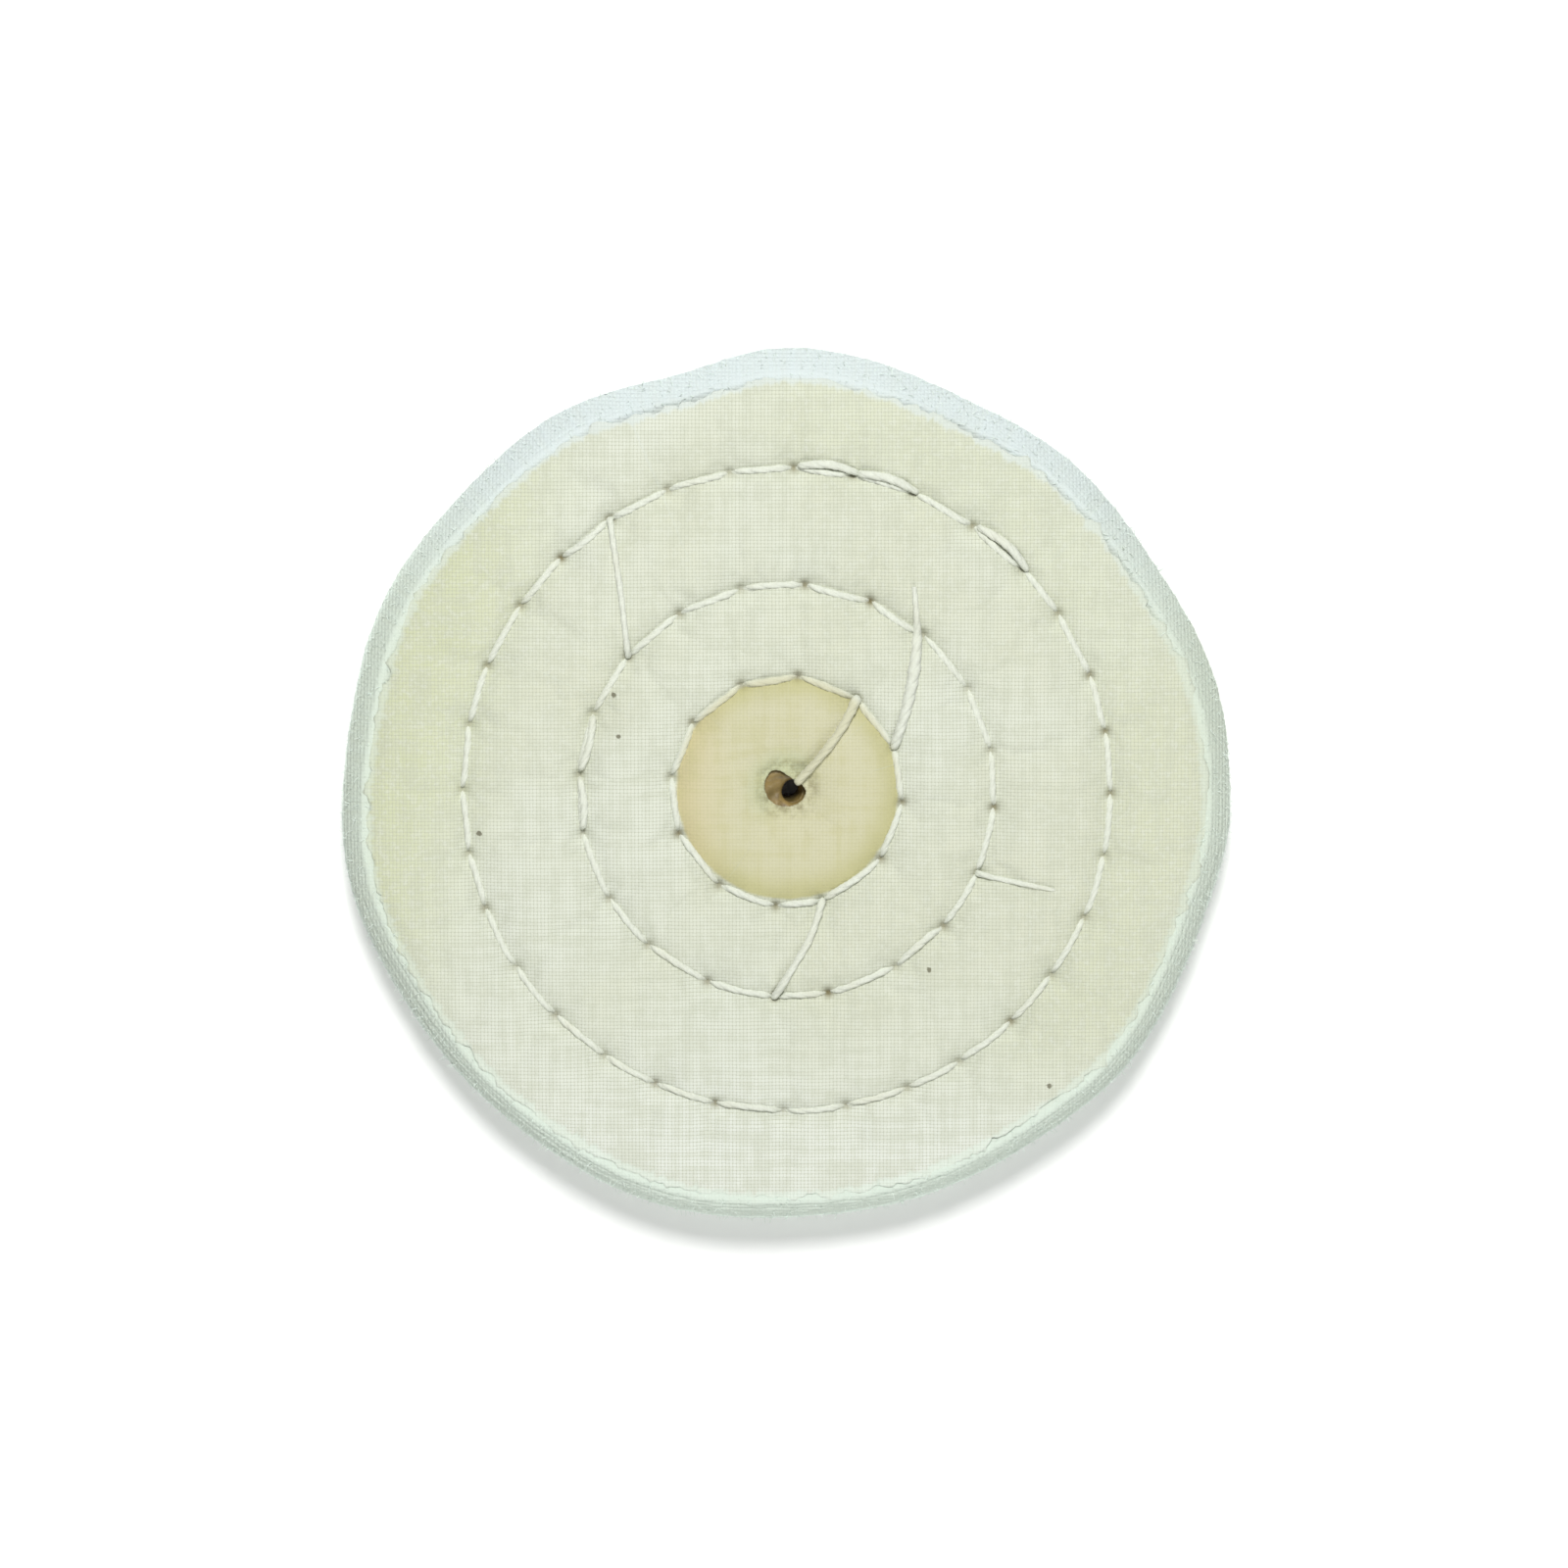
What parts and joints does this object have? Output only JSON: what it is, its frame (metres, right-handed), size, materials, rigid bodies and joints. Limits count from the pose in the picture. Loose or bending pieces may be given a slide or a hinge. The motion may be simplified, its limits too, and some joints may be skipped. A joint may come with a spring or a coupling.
{
  "type": "stitched cloth polishing wheel",
  "caption": "Round polishing wheel of stacked cotton cloth plies, sewn in three concentric rings, with a hardened pinhole centre.",
  "frame": {"origin": "on the wheel's axis at mid-thickness, in the middle of the pinhole", "axes": "+Z along the wheel's axis, out of the face that carries the loose threads; +Y is the bearing that the stitch positions are counted from, clockwise"},
  "size_m": [0.1016, 0.1016, 0.011],
  "materials": {
    "cloth": "plain-woven unbleached cotton",
    "shellac": "cured amber shellac",
    "needle_thread": "twisted off-white cotton thread",
    "bobbin_thread": "twisted off-white cotton thread"
  },
  "bodies": {
    "root": {"ply_01": "cloth", "ply_02": "cloth", "ply_03": "cloth", "ply_04": "cloth", "ply_05": "cloth", "ply_06": "cloth", "ply_07": "cloth", "ply_08": "cloth", "ply_09": "cloth", "ply_10": "cloth", "ply_11": "cloth", "ply_12": "cloth", "ply_13": "cloth", "ply_14": "cloth", "ply_15": "cloth", "ply_16": "cloth", "ply_17": "cloth", "ply_18": "cloth", "ply_19": "cloth", "ply_20": "cloth", "ply_21": "cloth", "ply_22": "cloth", "ply_23": "cloth", "ply_24": "cloth", "ply_25": "cloth", "ply_26": "cloth", "ply_27": "cloth", "ply_28": "cloth", "ply_29": "cloth", "ply_30": "cloth", "ply_31": "cloth", "ply_32": "cloth", "ply_33": "cloth", "ply_34": "cloth", "ply_35": "cloth", "ply_36": "cloth", "ply_37": "cloth", "ply_38": "cloth", "ply_39": "cloth", "ply_40": "cloth", "shellac_core": "shellac", "needle_thread": "needle_thread", "bobbin_thread_inner": "bobbin_thread", "bobbin_thread_middle": "bobbin_thread", "bobbin_thread_outer": "bobbin_thread"}
  },
  "joints": []
}
